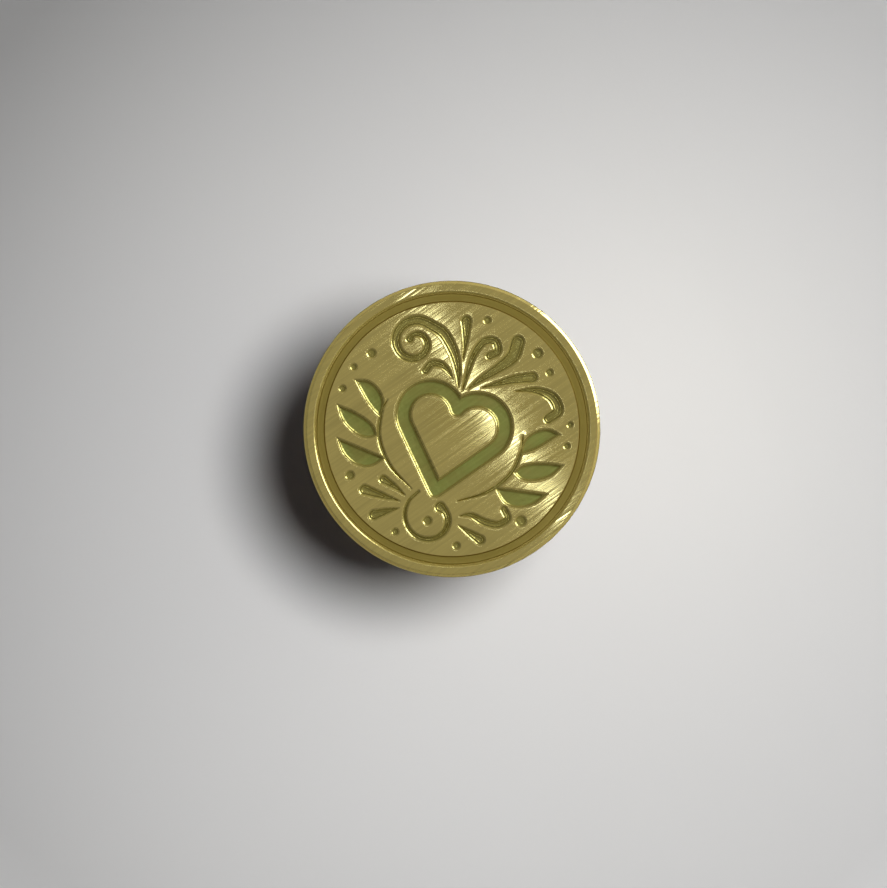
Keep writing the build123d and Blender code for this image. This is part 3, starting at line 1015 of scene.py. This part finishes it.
def thread_tree(material, settings):
    """Geometry nodes that roll a grid into the stud: a machine thread above a pointed wood-screw thread."""
    tree = bpy.data.node_groups.new("Threaded Stud", "GeometryNodeTree")
    tree.interface.new_socket("Geometry", in_out="OUTPUT", socket_type="NodeSocketGeometry")
    sizes = {
        "Machine Radius": STUD_RADIUS * MM,
        "Screw Radius": SCREW_RADIUS * MM,
        "Machine Pitch": settings.machine_pitch,
        "Screw Pitch": settings.screw_pitch,
        "Thread Depth": settings.thread_depth,
        "Low": STUD_LOW.z * MM,
        "Shoulder": SCREW_SHOULDER * MM,
        "High": STUD_HIGH.z * MM,
        "Point": SCREW_POINT * MM,
    }
    for name in sizes:
        tree.interface.new_socket(name, in_out="INPUT", socket_type="NodeSocketFloat")
    given = tree.nodes.new("NodeGroupInput").outputs
    counts = {"Size X": 1.0, "Size Y": 1.0, "Vertices X": STUD_SEGMENTS + 1, "Vertices Y": settings.rings}
    grid = add_node(tree, "GeometryNodeMeshGrid", counts).outputs["Mesh"]
    point = tree.nodes.new("GeometryNodeInputPosition").outputs[0]
    place = add_node(tree, "ShaderNodeSeparateXYZ", {0: point}).outputs
    turn = calculate(tree, "ADD", place["X"], 0.5)
    share = calculate(tree, "ADD", place["Y"], 0.5)
    length = calculate(tree, "SUBTRACT", given["High"], given["Low"])
    height = calculate(tree, "MULTIPLY_ADD", share, length, given["Low"])
    machine = calculate(tree, "GREATER_THAN", height, given["Shoulder"])

    pitch = mix_values(tree, machine, given["Screw Pitch"], given["Machine Pitch"])
    phase = calculate(tree, "SUBTRACT", calculate(tree, "DIVIDE", height, pitch), turn)
    wave = calculate(tree, "PINGPONG", phase, 0.5)
    root = calculate(tree, "MULTIPLY_ADD", wave, -2.0, 1.0)

    above_tip = calculate(tree, "SUBTRACT", height, given["Low"])
    taper = calculate(tree, "DIVIDE", above_tip, given["Point"], clamp=True)
    below_top = calculate(tree, "SUBTRACT", given["High"], height)
    lead = calculate(tree, "SUBTRACT", given["Machine Radius"], given["Thread Depth"])
    led = calculate(tree, "MINIMUM", given["Machine Radius"], calculate(tree, "ADD", lead, below_top))
    crest = mix_values(tree, machine, times(tree, given["Screw Radius"], taper), led)
    cut = times(tree, root, given["Thread Depth"])
    bottom = calculate(tree, "SUBTRACT", given["Machine Radius"], cut)
    narrow = times(tree, calculate(tree, "SUBTRACT", given["Screw Radius"], cut), taper)
    radius = calculate(tree, "MINIMUM", crest, mix_values(tree, machine, narrow, bottom))
    capped = times(tree, radius, calculate(tree, "LESS_THAN", share, STUD_CAP))
    angle = times(tree, turn, 2 * math.pi)
    parts = {
        "X": times(tree, capped, calculate(tree, "COSINE", angle)),
        "Y": times(tree, capped, calculate(tree, "SINE", angle)),
        "Z": height,
    }
    position = add_node(tree, "ShaderNodeCombineXYZ", parts).outputs[0]
    rolled = add_node(tree, "GeometryNodeSetPosition", {"Geometry": grid, "Position": position})
    closed = add_node(tree, "GeometryNodeMergeByDistance", {"Geometry": rolled.outputs[0], "Distance": SEAM})
    real = add_node(tree, "GeometryNodeRealizeInstances", {"Geometry": closed.outputs[0]})
    dressed = add_node(tree, "GeometryNodeSetMaterial", {"Geometry": real.outputs[0], "Material": material})
    result = tree.nodes.new("NodeGroupOutput")
    tree.links.new(dressed.outputs[0], result.inputs[0])
    return tree, sizes


def mesh_from_tree(tree, sizes):
    """The plain mesh that a geometry node tree makes with the given sizes."""
    carrier = bpy.data.objects.new("carrier", bpy.data.meshes.new("carrier"))
    bpy.context.collection.objects.link(carrier)
    modifier = carrier.modifiers.new("shape", "NODES")
    modifier.node_group = tree
    for item in tree.interface.items_tree:
        if item.in_out == "INPUT":
            modifier[item.identifier] = sizes[item.name]
    graph = bpy.context.evaluated_depsgraph_get()
    mesh = bpy.data.meshes.new_from_object(carrier.evaluated_get(graph))
    carrier.modifiers.remove(modifier)
    bpy.data.objects.remove(carrier)
    return mesh


def settle(piece, node, body):
    """Puts a finished piece on a body in place of a node, whose imported part it hides."""
    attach(piece, body)
    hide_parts(node)


class SEALSTAMP_OT_seal_head(bpy.types.Operator):
    """Make the engraved brass head"""

    bl_idname = "seal_stamp.seal_head"
    bl_label = "Seal Head"

    def execute(self, context):
        settings = context.scene.seal_stamp_head
        shape = turned(head_profile())
        add_engraved_field(shape, Engraving(settings.engraving_turn))
        head = finish_mesh(shape, "seal_head_finished", seal_brass(settings))
        add_brush_map(head.data, BRUSH_MAP, settings.brush_angle + math.pi / 2)
        settle(head, "seal_head", "head")
        return {"FINISHED"}


class SEALSTAMP_OT_threaded_stud(bpy.types.Operator):
    """Make the steel stud with its two threads"""

    bl_idname = "seal_stamp.threaded_stud"
    bl_label = "Threaded Stud"

    def execute(self, context):
        settings = context.scene.seal_stamp_stud
        steel = plated_steel(settings)
        shape = bmesh.new()
        shape.from_mesh(mesh_from_tree(*thread_tree(steel, settings)))
        stud = finish_mesh(shape, "threaded_stud_finished", steel)
        settle(stud, "threaded_stud", "grip")
        return {"FINISHED"}


class SEALSTAMP_OT_joint_washer(bpy.types.Operator):
    """Make the washer between ferrule and head"""

    bl_idname = "seal_stamp.joint_washer"
    bl_label = "Joint Washer"

    def execute(self, context):
        shape = turned(washer_profile(), closed=True)
        washer = finish_mesh(shape, "joint_washer_finished", black_nylon(context.scene.seal_stamp_stud))
        settle(washer, "joint_washer", "washer")
        return {"FINISHED"}


class SEALSTAMP_OT_ferrule(bpy.types.Operator):
    """Make the brass ferrule"""

    bl_idname = "seal_stamp.ferrule"
    bl_label = "Ferrule"

    def execute(self, context):
        shape = turned(ferrule_profile(), closed=True)
        ferrule = finish_mesh(shape, "ferrule_finished", ferrule_brass(context.scene.seal_stamp_handle))
        settle(ferrule, "ferrule", "grip")
        return {"FINISHED"}


class SEALSTAMP_OT_handle(bpy.types.Operator):
    """Make the turned wooden handle"""

    bl_idname = "seal_stamp.handle"
    bl_label = "Handle"

    def execute(self, context):
        shape = turned(handle_profile())
        handle = finish_mesh(shape, "handle_finished", lacquered_wood(context.scene.seal_stamp_handle))
        settle(handle, "handle", "grip")
        return {"FINISHED"}


# Picture: its size and the disc's place in it, in pixels, and the camera's sensor in millimetres
PICTURE_WIDTH = 887
PICTURE_HEIGHT = 888
DISC_PIXELS = 297.0
DISC_PIXEL_X = 452.0
DISC_PIXEL_Y = 429.0
SENSOR_WIDTH = 36.0

# Stage: the floor, the glow of its distant part and the lamps, lengths in metres
PALE_DISTANCE = (0.080, 0.13)
PALE_GLOW = 0.56
PALE_SEEN = 0.36
SIDE_GLOW = (0.50, 1.50)
FLOOR_RADIUS = 0.9
WALL_ROUND = 0.5
WALL_STEPS = 24
WALL_END = -5
WORLD_COLOUR = (0.97, 0.98, 1.0, 1.0)
ZENITH = 0.97
LAMP_AZIMUTH = math.radians(22)
KEY_HEIGHT = 0.152
KEY_OFFSET = 0.0150
KEY_RADIUS = 0.0100
KEY_CONE = math.radians(82)
KEY_TARGET = (0.036, -0.036, 0)
BOUNCE_PLACE = (0.026, 0.006, 0.042)
BOUNCE_RADIUS = 0.010
BOUNCE_COLOUR = (1.0, 0.95, 0.78)
STRIP_COLOUR = (0.54, 0.63, 1.0)
STRIP_PLACE = (0.0082, 0.0053)
STRIP_HEIGHT = 0.193
STRIP_SIZE = (0.034, 0.0032)
STRIP_TURN = math.radians(-57)
SIDE_AZIMUTH = math.radians(30)
SIDE_DISTANCE = 0.34
SIDE_HEIGHT = 0.06
SIDE_SIZE = (0.28, 0.12)
SIDE_COLOUR = (0.68, 0.76, 1.0)


def add_floor(settings):
    """A pale floor that curves up into a wall all round."""
    profile = [(0, 0)]
    for angle in np.radians(np.linspace(-90, WALL_END, WALL_STEPS)):
        out = FLOOR_RADIUS + WALL_ROUND * math.cos(angle)
        up = WALL_ROUND + WALL_ROUND * math.sin(angle)
        profile.append((out / MM, up / MM))
    finish_mesh(turned(profile), "floor", floor_paper(settings))


def add_lamp(name, kind, power, place, target, glossy, turn=0.0):
    """A lamp that looks at a target, turned about the line to it, for gloss or for the rest."""
    lamp = bpy.data.lights.new(name, kind)
    lamp.energy = power
    holder = bpy.data.objects.new(name, lamp)
    holder.location = place
    aim = (Vector(target) - Vector(place)).to_track_quat("-Z", "Y")
    holder.rotation_euler = (aim @ Quaternion((0, 0, 1), turn)).to_euler()
    holder.visible_glossy = glossy
    holder.visible_diffuse = not glossy
    bpy.context.collection.objects.link(holder)
    return lamp


def add_card(name, power, colour, place, target, size, turn=0.0):
    """A flat bright card that shows in glossy surfaces."""
    card = add_lamp(name, "AREA", power, place, target, True, turn)
    card.shape = "RECTANGLE"
    card.color = colour
    card.size, card.size_y = size


def add_key(power, place):
    """A small lamp beside the camera whose light falls off towards the edge of the picture."""
    key = add_lamp("key", "SPOT", power, place, KEY_TARGET, False)
    key.shadow_soft_size = KEY_RADIUS
    key.spot_size = KEY_CONE
    key.spot_blend = 1.0


def add_bounce(power):
    """A low lamp for the warm light that the brass throws on the floor beside it."""
    bounce = add_lamp("bounce", "POINT", power, BOUNCE_PLACE, (0, 0, 0), False)
    bounce.shadow_soft_size = BOUNCE_RADIUS
    bounce.color = BOUNCE_COLOUR


def add_camera(settings):
    """A camera straight above the face, framed so that the disc stands where the picture has it."""
    pixels_per_metre = DISC_PIXELS / (2 * FACE_RADIUS * MM)
    camera = bpy.data.cameras.new("camera")
    camera.sensor_width = SENSOR_WIDTH
    camera.lens = SENSOR_WIDTH * pixels_per_metre * settings.camera_distance / PICTURE_HEIGHT
    holder = bpy.data.objects.new("camera", camera)
    holder.location = (
        (PICTURE_WIDTH / 2 - DISC_PIXEL_X) / pixels_per_metre,
        (DISC_PIXEL_Y - PICTURE_HEIGHT / 2) / pixels_per_metre,
        FACE_HEIGHT * MM + settings.camera_distance,
    )
    bpy.context.collection.objects.link(holder)
    bpy.context.scene.camera = holder


def add_world(settings):
    """Faint light from all around, and the brighter room that glossy surfaces show."""
    world = bpy.data.worlds.new("studio")
    world.use_nodes = True
    tree = world.node_tree
    direction = add_node(tree, "ShaderNodeTexCoord").outputs["Generated"]
    rise = add_node(tree, "ShaderNodeSeparateXYZ", {0: direction}).outputs["Z"]
    room = remap(tree, rise, 0.0, ZENITH, settings.glow, settings.ceiling)
    lit_side = remap(tree, light_side(tree, direction), -1.0, 1.0, *SIDE_GLOW)
    glossy = add_node(tree, "ShaderNodeLightPath").outputs["Is Glossy Ray"]
    strength = mix_values(tree, glossy, settings.fill, times(tree, room, lit_side))
    set_inputs(tree, tree.nodes["Background"], {"Color": WORLD_COLOUR, "Strength": strength})
    bpy.context.scene.world = world


class SEALSTAMP_OT_stage(bpy.types.Operator):
    """Set the floor, lamps, world and camera"""

    bl_idname = "seal_stamp.stage"
    bl_label = "Stage"

    def execute(self, context):
        settings = context.scene.seal_stamp_stage
        face = FACE_HEIGHT * MM
        toward = Vector((math.cos(LAMP_AZIMUTH), math.sin(LAMP_AZIMUTH), 0))
        add_floor(settings)
        add_key(settings.key_power, toward * KEY_OFFSET + Vector((0, 0, face + KEY_HEIGHT)))
        add_bounce(settings.bounce_power)
        strip_place = Vector((*STRIP_PLACE, face + STRIP_HEIGHT))
        strip_target = (*STRIP_PLACE, face)
        add_card(
            "strip", settings.strip_power, STRIP_COLOUR, strip_place, strip_target, STRIP_SIZE, STRIP_TURN
        )
        side_way = Vector((math.cos(SIDE_AZIMUTH), math.sin(SIDE_AZIMUTH), 0))
        side_place = side_way * SIDE_DISTANCE + Vector((0, 0, face + SIDE_HEIGHT))
        add_card("side_card", settings.side_power, SIDE_COLOUR, side_place, (0, 0, face), SIDE_SIZE)
        add_world(settings)
        add_camera(settings)
        context.scene.view_settings.view_transform = "Standard"
        return {"FINISHED"}


OPERATORS = (
    SEALSTAMP_OT_seal_head,
    SEALSTAMP_OT_threaded_stud,
    SEALSTAMP_OT_joint_washer,
    SEALSTAMP_OT_ferrule,
    SEALSTAMP_OT_handle,
    SEALSTAMP_OT_stage,
)
SETTINGS = {
    "seal_stamp_head": SealHeadSettings,
    "seal_stamp_stud": StudSettings,
    "seal_stamp_handle": HandleSettings,
    "seal_stamp_stage": StageSettings,
}


class SEALSTAMP_PT_panel(bpy.types.Panel):
    """Lists the steps that build the stamp"""

    bl_idname = "SEALSTAMP_PT_panel"
    bl_label = "Seal Stamp"
    bl_space_type = "VIEW_3D"
    bl_region_type = "UI"
    bl_category = "Seal Stamp"

    def draw(self, context):
        for operator in OPERATORS:
            self.layout.operator(operator.bl_idname)
        for name, group in SETTINGS.items():
            box = self.layout.box()
            for setting in group.__annotations__:
                box.prop(getattr(context.scene, name), setting)


def register():
    for name, group in SETTINGS.items():
        bpy.utils.register_class(group)
        setattr(bpy.types.Scene, name, PointerProperty(type=group))
    for operator in OPERATORS:
        bpy.utils.register_class(operator)
    bpy.utils.register_class(SEALSTAMP_PT_panel)


def unregister():
    bpy.utils.unregister_class(SEALSTAMP_PT_panel)
    for operator in reversed(OPERATORS):
        bpy.utils.unregister_class(operator)
    for name, group in SETTINGS.items():
        delattr(bpy.types.Scene, name)
        bpy.utils.unregister_class(group)


def main():
    """Builds the pieces and the stage."""
    register()
    bpy.ops.seal_stamp.seal_head()
    bpy.ops.seal_stamp.threaded_stud()
    bpy.ops.seal_stamp.joint_washer()
    bpy.ops.seal_stamp.ferrule()
    bpy.ops.seal_stamp.handle()
    bpy.ops.seal_stamp.stage()


if __name__ == "__main__":
    main()
